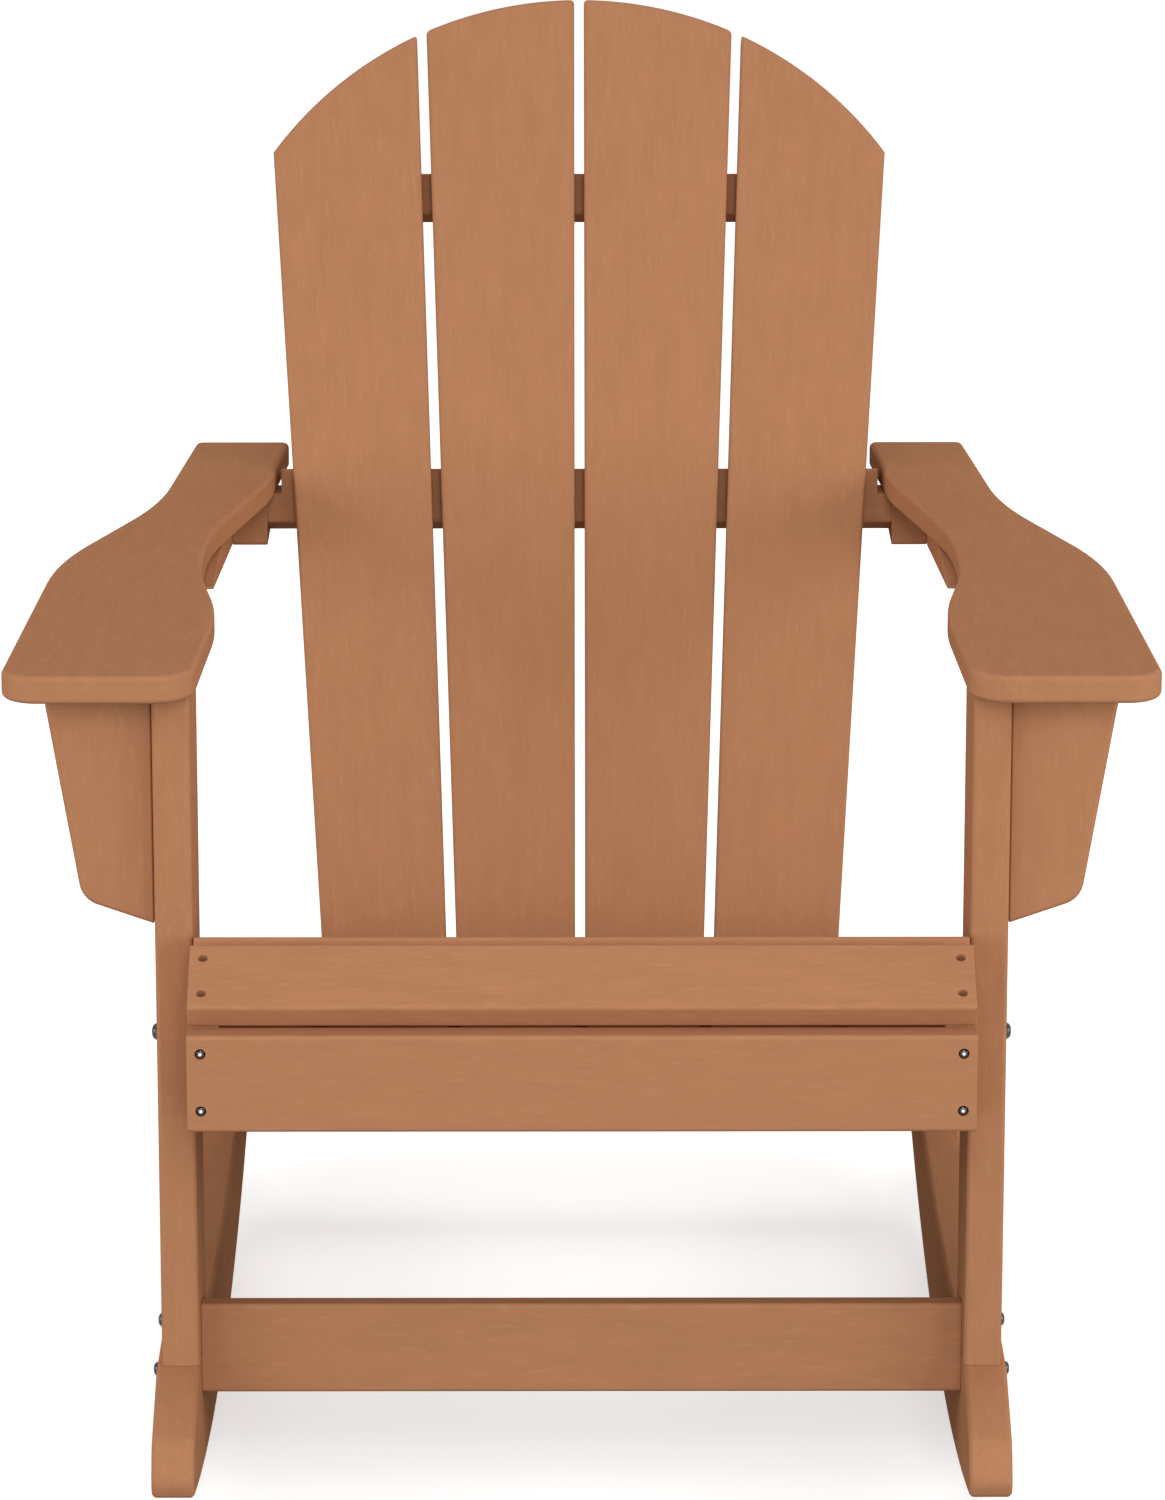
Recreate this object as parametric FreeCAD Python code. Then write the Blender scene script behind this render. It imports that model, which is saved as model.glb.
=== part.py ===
import FreeCAD, Part
import math
import os

os.makedirs("parts", exist_ok=True)

V = FreeCAD.Vector

# Rocking adirondack chair in board lumber. Millimetres, +Z up, the sitter looks along -Y.
# Depths are measured from the front face of the legs and heights from the floor.
# The finished chair is moved at the end so that the origin is the middle of its box on the floor.
# Left and right are the sitter's: left is +X.

# frame
inner_span = 520.0
edge_round = 3.0
edge_break = 2.2

# rockers
rocker_thick = 29.2
rocker_radius = 1870.0
rocker_low_y = 324.0
rocker_foot_height = 108.9
rocker_nose_y = -82.0
rocker_nose_bottom_y = -78.0
rocker_nose_height = 55.0
rocker_brow_y = -70.0
rocker_brow_height = 79.5
rocker_brow_round = 20.0
rocker_nose_round = 14.0
rocker_toe_round = 5.0
rocker_waist_y = 432.0
rocker_waist_height = 88.5
rocker_tail_top_y = 775.0
rocker_tail_top_height = 108.0
rocker_tail_y = 787.0
rocker_tail_round = 16.0

# front legs
leg_thick = 25.4
leg_depth = 88.9

# arms
arm_under_height = 583.0
arm_thick = 19.0
arm_front_y = -33.0
arm_past_back = 119.0

# brackets under the arms
bracket_front_y = 12.0
bracket_thick = 25.0
bracket_reach = 73.4
bracket_low_reach = 49.0
bracket_low_drop = 147.4
bracket_foot_drop = 164.2
bracket_round = 18.0

# tapered cleats and blocks under the rear of the arms
cleat_thick = 20.0
cleat_before_back = 262.0
cleat_deep_past_back = 18.0
cleat_past_back = 87.0
cleat_drop = 36.7
cleat_rear_drop = 24.2
cleat_rear_cut = 12.0
cleat_tip = 2.0
cleat_sweep = 300.0
cleat_round = 5.0
block_thick = 26.0
block_outset = 2.0
block_round = 5.0

# seat side rails
side_rail_thick = 20.0
side_rail_front_drop = 65.0
side_rail_knee_y = 460.0
side_rail_tail_y = 775.0
side_rail_tail_top = 114.0
side_rail_heel_y = 700.0
side_rail_heel_height = 57.0
side_rail_toe_y = 766.0
side_rail_toe_height = 76.0
side_rail_knee_round = 60.0
side_rail_tail_round = 12.0
side_rail_heel_round = 40.0

# seat
seat_front_y = -9.0
seat_front_height = 416.5
seat_slope = 17.5
slat_thick = 19.0
slat_width = 66.0
slat_gap = 8.0
slat_count = 6
slat_end_clearance = 1.0
nose_slope = 28.8
nose_width = 59.3
nose_rear_y = -25.0
nose_rise = 0.5
nose_overhang = 0.5

# apron
apron_rear_y = -66.0
apron_thick = 22.0
apron_top_gap = 0.8
apron_height = 66.7

# stretchers
front_stretcher_y = 28.0
front_stretcher_bottom = 79.2
stretcher_thick = 16.0
stretcher_height = 64.0
rear_stretcher_y = 664.0
rear_stretcher_bottom = 78.0

# back; lengths along it start where it passes the rear of the seat
recline = 26.0
back_seat_gap = 3.8
back_slat_gap = 7.3
back_seam = 93.6
back_seam_flare = 0.03466
back_edge = 187.7
back_edge_flare = 0.0664
back_foot = -61.3
arch_centre = 459.1
arch_radius = 280.0
back_rail_thick = 25.4
upper_rail_below_crown = 129.9
upper_rail_height = 32.1
upper_rail_inset = 22.0
lower_rail_below_arm = 19.5
lower_rail_height = 41.2
lower_rail_notch = 10.0
bottom_rail_low = -56.3
bottom_rail_height = 65.0

# fasteners
head_side_count = 20
plug_side_count = 12
seat_screw_hole = 6.5
seat_screw_sink = 9.0
seat_screw_inset = 7.5
seat_screw_margin = 13.4
screw_head = 6.1
screw_head_height = 2.4
apron_screw_hole = 7.4
apron_screw_head = 6.8
apron_screw_sink = 2.6
apron_screw_rim = 0.3
apron_screw_drops = (12.5, 52.0)
bolt_head = 12.0
bolt_head_height = 5.0
stretcher_head = 10.4
stretcher_head_height = 4.3
leg_bolt_y = 30.0
leg_bolt_drop = 46.1
stretcher_screw_heights = (129.5, 93.7)
rear_bolt_spots = ((-22.0, 84.0), (70.0, 88.0))
back_screw_spread = 22.0
bottom_rail_screw_spread = 18.0
rear_stretcher_screw_drop = 14.0
cleat_screw_margin = 15.0

half_span = inner_span / 2
seat_angle = math.radians(seat_slope)
nose_angle = math.radians(nose_slope)
lean = math.radians(recline)
nose_rear_height = seat_front_height + nose_rise


def point(a, b, plane):
    if plane == "XY":
        return V(a, b, 0)
    if plane == "XZ":
        return V(a, 0, b)
    return V(0, a, b)


def outline(corners, plane):
    """Closed face through corners given as (a, b, radius), each rounded by its own radius."""
    stretches = []
    count = len(corners)
    for i in range(count):
        a, b, radius = corners[i]
        here = point(a, b, plane)
        if radius == 0:
            stretches.append((here, None, here))
            continue
        back = (point(corners[i - 1][0], corners[i - 1][1], plane) - here).normalize()
        following = corners[(i + 1) % count]
        ahead = (point(following[0], following[1], plane) - here).normalize()
        half = back.getAngle(ahead) / 2
        reach = radius / math.tan(half)
        inward = (back + ahead).normalize()
        crown = here + inward * (radius / math.sin(half) - radius)
        stretches.append((here + back * reach, crown, here + ahead * reach))
    edges = []
    for i in range(count):
        start, crown, end = stretches[i]
        if crown is not None:
            edges.append(Part.Arc(start, crown, end).toShape())
        following = stretches[(i + 1) % count][0]
        if (following - end).Length > 1e-6:
            edges.append(Part.LineSegment(end, following).toShape())
    return Part.Face(Part.Wire(edges))


def ease(shape, radius, wanted):
    """Round the edges for which wanted(box of the edge) is true."""
    return shape.makeFillet(radius, [edge for edge in shape.Edges if wanted(edge.BoundBox)])


def broken(shape, wanted):
    """Take the arris off the edges for which wanted(box of the edge) is true."""
    return shape.makeChamfer(edge_break, [edge for edge in shape.Edges if wanted(edge.BoundBox)])


def along_x(box):
    return box.YLength < 0.01 and box.ZLength < 0.01


def along_z(box):
    return box.XLength < 0.01 and box.YLength < 0.01


def mirrored(shape):
    return shape.mirror(V(0, 0, 0), V(1, 0, 0))


def both(shape):
    return [shape, mirrored(shape)]


def ring(diameter, flats, height):
    """Regular polygon around +Z, as wide across its corners as the diameter."""
    corners = []
    for i in range(flats + 1):
        turn = 2 * math.pi * i / flats
        corners.append(V(diameter / 2 * math.cos(turn), diameter / 2 * math.sin(turn), height))
    return Part.makePolygon(corners)


def aimed(shape, place, direction):
    shape.Placement = FreeCAD.Placement(place, FreeCAD.Rotation(V(0, 0, 1), direction))
    return shape


def head(diameter, height, place, direction):
    """Button head standing on place: a rim, a shoulder and a flat crown."""
    rim = ring(diameter, head_side_count, height / 3)
    shoulder = ring(diameter * 0.86, head_side_count, height * 0.7)
    crown = ring(diameter * 0.5, head_side_count, height)
    button = Part.makeLoft([ring(diameter, head_side_count, 0), rim, shoulder, crown], True, True)
    return aimed(button, place, direction)


def plug(diameter, height, place, direction):
    """Short screw head for the many hidden screws, with few flats."""
    body = Part.Face(ring(diameter, plug_side_count, 0)).extrude(V(0, 0, height))
    return aimed(body, place, direction)


def sole(y):
    """Height of the rocker's underside above the floor."""
    run = y - rocker_low_y
    return rocker_radius - math.sqrt(rocker_radius * rocker_radius - run * run)


def seat_under(y):
    """Height of the underside of the seat slats behind the front edge."""
    start_y = seat_front_y - slat_thick * math.sin(seat_angle)
    start_z = seat_front_height - slat_thick * math.cos(seat_angle)
    return start_z - (y - start_y) * math.tan(seat_angle)


def nose_under(y):
    """Height of the underside of the sloping front slat."""
    rear_y = nose_rear_y + slat_thick * math.sin(nose_angle)
    rear_z = nose_rear_height - slat_thick * math.cos(nose_angle)
    return rear_z + (y - rear_y) * math.tan(nose_angle)


def placed_on_back(shape):
    """Move a piece from the back's own frame, x across, z up along the slats, y backwards."""
    shape.rotate(V(0, 0, 0), V(1, 0, 0), -recline)
    shape.translate(V(0, back_root_y, back_root_z))
    return shape


def on_back(y, z):
    """Depth and height of a spot given in the back's own frame."""
    depth = back_root_y + z * math.sin(lean) + y * math.cos(lean)
    height = back_root_z + z * math.cos(lean) - y * math.sin(lean)
    return depth, height


def along_back(y, height):
    """Length along the back at which a spot y behind its face has the given height."""
    return (height - back_root_z + y * math.sin(lean)) / math.cos(lean)


# the back passes the lower rear edge of the last seat slat at a small gap
seat_run = slat_count * (slat_width + slat_gap) - slat_gap
seat_rear_y = seat_front_y + seat_run * math.cos(seat_angle) - slat_thick * math.sin(seat_angle)
back_root_y = seat_rear_y + back_seat_gap * math.cos(lean)
back_root_z = seat_under(seat_rear_y) - back_seat_gap * math.sin(lean)
upper_rail_low = arch_centre + arch_radius - upper_rail_below_crown - upper_rail_height
lower_rail_low = along_back(slat_thick, arm_under_height - lower_rail_below_arm)
back_at_arm_y = on_back(0.0, lower_rail_low)[0]
arm_rear_y = back_at_arm_y + arm_past_back
cleat_front_y = back_at_arm_y - cleat_before_back
cleat_deep_y = back_at_arm_y + cleat_deep_past_back
cleat_rear_y = back_at_arm_y + cleat_past_back

nodes = {}

# rocker, drawn from the side
toe = V(0, rocker_nose_bottom_y, sole(rocker_nose_bottom_y))
heel = V(0, rocker_tail_y, sole(rocker_tail_y))
low = V(0, rocker_low_y, 0)
tail_top = V(0, rocker_tail_top_y, rocker_tail_top_height)
waist = V(0, rocker_waist_y, rocker_waist_height)
foot_rear = V(0, leg_depth, rocker_foot_height)
foot_front = V(0, 0, rocker_foot_height)
brow = V(0, rocker_brow_y, rocker_brow_height)
nose = V(0, rocker_nose_y, rocker_nose_height)
side = Part.Wire([
    Part.Arc(toe, low, heel).toShape(),
    Part.LineSegment(heel, tail_top).toShape(),
    Part.Arc(tail_top, waist, foot_rear).toShape(),
    Part.LineSegment(foot_rear, foot_front).toShape(),
    Part.LineSegment(foot_front, brow).toShape(),
    Part.LineSegment(brow, nose).toShape(),
    Part.LineSegment(nose, toe).toShape(),
])
rocker = Part.Face(side).extrude(V(rocker_thick, 0, 0))
for corner, radius in (
    (brow, rocker_brow_round),
    (nose, rocker_nose_round),
    (toe, rocker_toe_round),
    (heel, rocker_tail_round),
    (tail_top, rocker_tail_round),
):
    rocker = ease(
        rocker, radius,
        lambda box: along_x(box) and abs(box.YMin - corner.y) < 0.5 and abs(box.ZMin - corner.z) < 0.5,
    )
rocker = broken(rocker, lambda box: box.XLength < 0.01)
rocker.translate(V(half_span, 0, 0))

# front leg
leg = Part.makeBox(leg_thick, leg_depth, arm_under_height - rocker_foot_height)
leg = ease(leg, edge_round, along_z)
leg.translate(V(half_span, 0, rocker_foot_height))

# arm, drawn from above; widths are measured from the inner face of the leg
arm_plan = (
    (124.3, arm_front_y, 24.0),
    (108.3, 288.0, 390.0),
    (46.5, arm_rear_y - 204.0, 450.0),
    (29.5, arm_rear_y, 6.0),
    (-41.0, arm_rear_y, 6.0),
    (-31.5, arm_rear_y - 127.0, 300.0),
    (5.5, arm_rear_y - 302.0, 500.0),
    (5.5, 262.0, 330.0),
    (-11.7, 150.0, 400.0),
    (-3.6, arm_front_y, 30.0),
)
arm = outline([(half_span + x, y, r) for x, y, r in arm_plan], "XY").extrude(V(0, 0, arm_thick))
arm = broken(arm, lambda box: box.ZLength < 0.01)
arm.translate(V(0, 0, arm_under_height))

# bracket under the arm, drawn from the front
leg_outer = half_span + leg_thick
bracket = outline([
    (leg_outer, arm_under_height, 0),
    (leg_outer + bracket_reach, arm_under_height, 0),
    (leg_outer + bracket_low_reach, arm_under_height - bracket_low_drop, bracket_round),
    (leg_outer, arm_under_height - bracket_foot_drop, 0),
], "XZ").extrude(V(0, bracket_thick, 0))
bracket = broken(
    bracket,
    lambda box: box.YLength < 0.01 and box.XMax > leg_outer + 1 and box.ZMin < arm_under_height - 1,
)
bracket.translate(V(0, bracket_front_y, 0))

# tapered cleat under the rear of the arm, drawn from the side
cleat_inner = half_span - block_outset
cleat = outline([
    (cleat_front_y, arm_under_height, 0),
    (cleat_front_y, arm_under_height - cleat_tip, 0),
    (cleat_deep_y, arm_under_height - cleat_drop, cleat_sweep),
    (cleat_rear_y - cleat_rear_cut, arm_under_height - cleat_drop, cleat_round),
    (cleat_rear_y, arm_under_height - cleat_rear_drop, cleat_round),
    (cleat_rear_y, arm_under_height, 0),
], "YZ").extrude(V(cleat_thick, 0, 0))
cleat.translate(V(cleat_inner, 0, 0))

# block between the cleat and the end of the lower back rail; its front follows the back slats
block_low = along_back(slat_thick, arm_under_height - cleat_drop)
block_high = along_back(slat_thick, arm_under_height)
block_high_y = on_back(slat_thick, block_high)[0]
block = outline([
    (block_high_y, arm_under_height, 0),
    (on_back(slat_thick, block_low)[0], arm_under_height - cleat_drop, block_round),
    (cleat_rear_y - cleat_rear_cut, arm_under_height - cleat_drop, block_round),
    (cleat_rear_y, arm_under_height - cleat_rear_drop, block_round),
    (cleat_rear_y, arm_under_height, 0),
], "YZ").extrude(V(block_thick, 0, 0))
block_inner = cleat_inner - block_thick
block.translate(V(block_inner, 0, 0))

# seat side rail, drawn from the side
kink_y = (seat_under(0) - nose_under(0)) / (math.tan(nose_angle) + math.tan(seat_angle))
side_rail = outline([
    (apron_rear_y, nose_under(apron_rear_y), 0),
    (kink_y, seat_under(kink_y), 0),
    (side_rail_knee_y, seat_under(side_rail_knee_y), side_rail_knee_round),
    (side_rail_tail_y, side_rail_tail_top, side_rail_tail_round),
    (side_rail_toe_y, side_rail_toe_height, side_rail_tail_round),
    (side_rail_heel_y, side_rail_heel_height, side_rail_heel_round),
    (apron_rear_y, nose_under(apron_rear_y) - side_rail_front_drop, 0),
], "YZ").extrude(V(side_rail_thick, 0, 0))
rail_inner = half_span - side_rail_thick
side_rail.translate(V(rail_inner, 0, 0))

# front apron
apron_half = half_span + nose_overhang
apron_top = nose_under(apron_rear_y) - apron_top_gap
apron = Part.makeBox(2 * apron_half, apron_thick, apron_height)
apron = ease(apron, edge_round, along_x)
apron.translate(V(-apron_half, apron_rear_y - apron_thick, apron_top - apron_height))

# stretchers
front_stretcher = Part.makeBox(inner_span, stretcher_thick, stretcher_height)
front_stretcher = ease(front_stretcher, edge_round, along_x)
front_stretcher.translate(V(-half_span, front_stretcher_y, front_stretcher_bottom))
rear_stretcher = Part.makeBox(2 * rail_inner, stretcher_thick, stretcher_height)
rear_stretcher = ease(rear_stretcher, edge_round, along_x)
rear_stretcher.translate(V(-rail_inner, rear_stretcher_y, rear_stretcher_bottom))

# seat slats; slat 1 is the sloping front slat
screw_x = half_span - slat_end_clearance - seat_screw_inset
seat_screws = []


def seat_slat(half_length, width, slope, y, z):
    slat = Part.makeBox(2 * half_length, width, slat_thick, V(-half_length, 0, -slat_thick))
    slat = ease(slat, edge_round, along_x)
    screws = []
    for x in (-screw_x, screw_x):
        for run in (seat_screw_margin, width - seat_screw_margin):
            place = V(x, run, -seat_screw_sink)
            slat = slat.cut(plug(seat_screw_hole, seat_screw_sink, place, V(0, 0, 1)))
            screws.append(plug(screw_head, screw_head_height, place, V(0, 0, 1)))
    for shape in [slat] + screws:
        shape.rotate(V(0, 0, 0), V(1, 0, 0), slope)
        shape.translate(V(0, y, z))
    seat_screws.extend(screws)
    return slat


front_y = nose_rear_y - nose_width * math.cos(nose_angle)
front_z = nose_rear_height - nose_width * math.sin(nose_angle)
nodes["seat_slat_1"] = seat_slat(apron_half, nose_width, nose_slope, front_y, front_z)
for i in range(slat_count):
    run = i * (slat_width + slat_gap)
    nodes["seat_slat_%d" % (i + 2)] = seat_slat(
        half_span - slat_end_clearance, slat_width, -seat_slope,
        seat_front_y + run * math.cos(seat_angle), seat_front_height - run * math.sin(seat_angle),
    )


# back slats, drawn in the plane of the back
def seam(z):
    return back_seam + back_seam_flare * z


def edge(z):
    return back_edge + back_edge_flare * z


def on_arch(flare, offset):
    """Spot where the line x = offset + flare * z meets the arch."""
    a = 1 + flare * flare
    b = flare * offset - arch_centre
    c = offset * offset + arch_centre * arch_centre - arch_radius * arch_radius
    z = (-b + math.sqrt(b * b - a * c)) / a
    return offset + flare * z, z


def arch_between(start, end):
    """Arc of the arch from one spot to the other."""
    x = (start[0] + end[0]) / 2
    z = arch_centre + math.sqrt(arch_radius * arch_radius - x * x)
    return Part.Arc(V(start[0], 0, start[1]), V(x, 0, z), V(end[0], 0, end[1])).toShape()


def back_slat(inner_offset, inner_flare, outer_offset, outer_flare):
    inner_top = on_arch(inner_flare, inner_offset)
    outer_top = on_arch(outer_flare, outer_offset)
    inner_foot = V(inner_offset + inner_flare * back_foot, 0, back_foot)
    outer_foot = V(outer_offset + outer_flare * back_foot, 0, back_foot)
    wire = Part.Wire([
        Part.LineSegment(inner_foot, outer_foot).toShape(),
        Part.LineSegment(outer_foot, V(outer_top[0], 0, outer_top[1])).toShape(),
        arch_between(outer_top, inner_top),
        Part.LineSegment(V(inner_top[0], 0, inner_top[1]), inner_foot).toShape(),
    ])
    slat = Part.Face(wire).extrude(V(0, slat_thick, 0))
    return broken(slat, lambda box: box.YLength < 0.01 and box.ZMax > back_foot + 1)


inner_slat = back_slat(back_slat_gap / 2, 0.0, back_seam - back_slat_gap / 2, back_seam_flare)
outer_slat = back_slat(back_seam + back_slat_gap / 2, back_seam_flare, back_edge, back_edge_flare)
slats = {
    "back_slat_outer_right": mirrored(outer_slat),
    "back_slat_inner_right": mirrored(inner_slat),
    "back_slat_inner_left": inner_slat,
    "back_slat_outer_left": outer_slat,
}
for name in slats:
    nodes[name] = placed_on_back(slats[name])


# rails across the rear of the back
def back_rail(half_length, low_edge, height):
    rail = Part.makeBox(2 * half_length, back_rail_thick, height, V(-half_length, slat_thick, low_edge))
    return placed_on_back(ease(rail, edge_round, along_x))


lower_rail = back_rail(block_inner, lower_rail_low, lower_rail_height)
for x in (-block_inner, block_inner - lower_rail_notch):
    corner = V(x, back_at_arm_y, arm_under_height)
    lower_rail = lower_rail.cut(Part.makeBox(lower_rail_notch, arm_past_back, lower_rail_height, corner))
upper_rail_half = edge(upper_rail_low) - upper_rail_inset
nodes["upper_back_rail"] = back_rail(upper_rail_half, upper_rail_low, upper_rail_height)
nodes["lower_back_rail"] = lower_rail
nodes["bottom_back_rail"] = back_rail(rail_inner, bottom_rail_low, bottom_rail_height)

# screws through the rails into the back slats
back_screws = []
for z in (
    upper_rail_low + upper_rail_height / 2,
    lower_rail_low + lower_rail_height / 2,
    bottom_rail_low + bottom_rail_height / 2,
):
    for middle in (seam(z) / 2, (seam(z) + edge(z)) / 2):
        for x in (middle - back_screw_spread, middle + back_screw_spread):
            place = V(x, slat_thick + back_rail_thick, z)
            back_screws += both(plug(screw_head, screw_head_height, place, V(0, 1, 0)))
back_screws = [placed_on_back(screw) for screw in back_screws]

# apron screws in shallow counterbores
apron_screws = []
for x in (-screw_x, screw_x):
    for drop in apron_screw_drops:
        place = V(x, apron_rear_y - apron_thick + apron_screw_sink, apron_top - drop)
        apron = apron.cut(plug(apron_screw_hole, apron_screw_sink, place, V(0, -1, 0)))
        apron_screws.append(head(apron_screw_head, apron_screw_sink - apron_screw_rim, place, V(0, -1, 0)))

# bolts through the legs into the seat side rails
outward = V(1, 0, 0)
leg_bolt_place = V(leg_outer, leg_bolt_y, seat_under(leg_bolt_y) - leg_bolt_drop)
leg_bolt = head(bolt_head, bolt_head_height, leg_bolt_place, outward)

# screws through the legs and rockers into the front stretcher
rocker_outer = half_span + rocker_thick
stretcher_screws = []
for x, z in zip((leg_outer, rocker_outer), stretcher_screw_heights):
    place = V(x, front_stretcher_y + stretcher_thick / 2, z)
    stretcher_screws += both(head(stretcher_head, stretcher_head_height, place, outward))

# bolts through the rockers into the tails of the seat side rails
rear_bolts = []
for run, z in rear_bolt_spots:
    place = V(rocker_outer, rear_stretcher_y + run, z)
    rear_bolts += both(head(bolt_head, bolt_head_height, place, outward))

# screws through the side rails into the rear stretcher and the bottom back rail
side_screws = []
bottom_middle = bottom_rail_low + bottom_rail_height / 2
bottom_depth = slat_thick + back_rail_thick / 2
rear_screw_height = rear_stretcher_bottom + stretcher_height - rear_stretcher_screw_drop
spots = (
    on_back(bottom_depth, bottom_middle - bottom_rail_screw_spread),
    on_back(bottom_depth, bottom_middle + bottom_rail_screw_spread),
    (rear_stretcher_y + stretcher_thick / 2, rear_screw_height),
)
for y, z in spots:
    side_screws += both(plug(stretcher_head, stretcher_head_height, V(half_span, y, z), outward))

# screws through the cleats into the blocks
cleat_screws = []
for y in (block_high_y + cleat_screw_margin, cleat_rear_y - cleat_screw_margin):
    place = V(cleat_inner + cleat_thick, y, arm_under_height - cleat_drop / 2)
    cleat_screws += both(plug(stretcher_head, stretcher_head_height, place, outward))

pairs = {
    "rocker": rocker,
    "front_leg": leg,
    "arm": arm,
    "arm_bracket": bracket,
    "arm_cleat": cleat,
    "arm_block": block,
    "seat_side_rail": side_rail,
}
for name in pairs:
    nodes[name + "_left"] = pairs[name]
    nodes[name + "_right"] = mirrored(pairs[name])

nodes["front_apron"] = apron
nodes["front_stretcher"] = front_stretcher
nodes["rear_stretcher"] = rear_stretcher

groups = {
    "seat_slat_screws": seat_screws,
    "back_slat_screws": back_screws,
    "apron_screws": apron_screws,
    "leg_bolts": both(leg_bolt),
    "stretcher_screws": stretcher_screws,
    "rear_bolts": rear_bolts,
    "side_rail_screws": side_screws,
    "cleat_screws": cleat_screws,
}
for name in groups:
    nodes[name] = Part.makeCompound(groups[name])

# the origin goes to the middle of the chair's box, on the floor
whole = Part.makeCompound(list(nodes.values())).optimalBoundingBox(False)
for name in sorted(nodes):
    shape = nodes[name]
    shape.translate(V(0, -(whole.YMin + whole.YMax) / 2, 0))
    shape.exportStep("parts/%s.step" % name)
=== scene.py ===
import math
import random

import bmesh
import bpy
from bpy.props import FloatProperty, FloatVectorProperty, IntProperty, PointerProperty
from mathutils import Matrix, Vector


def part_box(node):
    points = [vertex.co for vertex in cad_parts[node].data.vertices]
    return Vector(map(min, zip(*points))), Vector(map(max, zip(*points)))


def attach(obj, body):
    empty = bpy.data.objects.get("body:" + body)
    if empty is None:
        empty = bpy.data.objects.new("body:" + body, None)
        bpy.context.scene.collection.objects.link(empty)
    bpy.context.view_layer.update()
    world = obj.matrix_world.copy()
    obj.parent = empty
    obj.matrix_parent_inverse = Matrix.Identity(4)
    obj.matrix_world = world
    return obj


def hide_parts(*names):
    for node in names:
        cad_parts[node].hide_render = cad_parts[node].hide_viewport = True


bl_info = {
    "name": "Rocking Adirondack Chair",
    "version": (1, 0, 0),
    "blender": (4, 5, 0),
    "location": "3D View > Sidebar > Rocking Chair",
    "description": "Dresses the boards, screws and studio of a rocking adirondack chair",
    "category": "Object",
}

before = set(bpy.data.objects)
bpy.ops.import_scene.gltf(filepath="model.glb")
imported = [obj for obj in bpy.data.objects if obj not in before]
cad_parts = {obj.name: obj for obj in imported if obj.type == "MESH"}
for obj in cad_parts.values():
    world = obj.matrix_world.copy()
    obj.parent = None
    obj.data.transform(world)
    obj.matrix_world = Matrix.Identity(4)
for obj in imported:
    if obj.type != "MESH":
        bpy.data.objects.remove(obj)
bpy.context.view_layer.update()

# Depths are given from the front face of the legs, which stands here in the frame
LEG_FRONT_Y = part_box("front_leg_left")[0].y

ACROSS = Vector((1, 0, 0))
DEEP = Vector((0, 1, 0))
UPRIGHT = Vector((0, 0, 1))

LUMBER_NAME = "Brown Board Lumber"
STEEL_NAME = "Stainless Steel"

# Sockets of a colour mix node, several of which share a name
MIX_SHARE, MIX_FIRST, MIX_SECOND, MIX_RESULT = 0, 6, 7, 2

# Cells of noise per metre: along a board, across it and through it
FIBRE_CELLS = (30, 340, 340)
BLOTCH_CELLS = (24, 90, 90)
FLECK_CELLS = (70, 330, 330)

# Share of the fibres in the streaks, the rest being blotches, and the streaks' tones
FIBRE_SHARE = 0.45
STREAK_STOPS = (0.32, 0.68)
STREAK_TONES = (0.945, 1.045)

# Noise at which a fleck starts and is whole, its share of the colour there, and its tint
FLECK_SPAN = (0.60, 0.74)
FLECK_SHARE = 0.42
FLECK_TINT = (1.14, 1.20, 1.26)

# Strength of the pressed grain, tones from board to board, and shifts of the grain on them
GRAIN_STRENGTH = 0.6
BOARD_TONES = (0.985, 1.015)
GRAIN_SHIFT = 9

LUMBER_ROUGHNESS = (0.40, 0.56)
STEEL_ROUGHNESS = (0.08, 0.20)

# Turning marks on the steel: cells per metre, and the tones between which they change it
TURNING_CELLS = 900.0
TURNING_TONES = (0.85, 1.15)

# Shares of a head's height at which its rim, painted dark as a painted reflection, ends and its
# crown, painted bright as a painted glint, begins
PAINTED_GLINT_SPAN = (0.965, 0.985)

# Distances under which two points are one: on the solids' faces, on slats and on heads
NODE_WELD = 0.000002
SLAT_WELD = 0.000001
HEAD_WELD = 0.0000001

# Faces that turn by less than this are one flat
FLAT_TURN = math.radians(0.2)

# Edges that turn by more than these are rounded: on sawn boards, and on slats made by rule
SAWN_TURN = math.radians(25)
SLAT_TURN = math.radians(40)

# Edges of a head that turn by more than this stay sharp
HEAD_TURN = math.radians(40)

# Steps of each rounded edge
SAWN_STEPS = 3
SEAT_SLAT_STEPS = 2
BACK_SLAT_STEPS = 4

# Points on a seat slat's rounded edge, sides of a screw hole, and points along a slat's arch
EDGE_POINTS = 5
HOLE_SIDES = 24
ARCH_POINTS = 33

# Fall of the seat's side rails to the rear
SIDE_RAIL_FALL = math.radians(18.2)

# Points of a bracket this near its inner face belong to that face
INNER_FACE_REACH = 0.0001

# Screws this far in front of the legs hold the sloping front slat
FRONT_SLAT_SCREWS = 0.03

# Radius and height of the heads
BOLT_HEAD = (0.0060, 0.0050)
WIDE_SCREW_HEAD = (0.0052, 0.0043)
APRON_SCREW_HEAD = (0.0034, 0.0023)
SLAT_SCREW_HEAD = (0.00305, 0.0024)

# Outline of a head from its foot up: rise as a share of its height, width as a share of the last
DOME_STEPS = (
    (0.22, 1.0),
    (0.05, 0.985),
    (0.17, 0.955),
    (0.16, 0.93),
    (0.14, 0.89),
    (0.11, 0.84),
    (0.08, 0.76),
    (0.05, 0.62),
    (0.02, 0.4),
)

# Half the floor's width, and the sensor's width in millimetres
FLOOR_REACH = 40
SENSOR_WIDTH = 36

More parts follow.
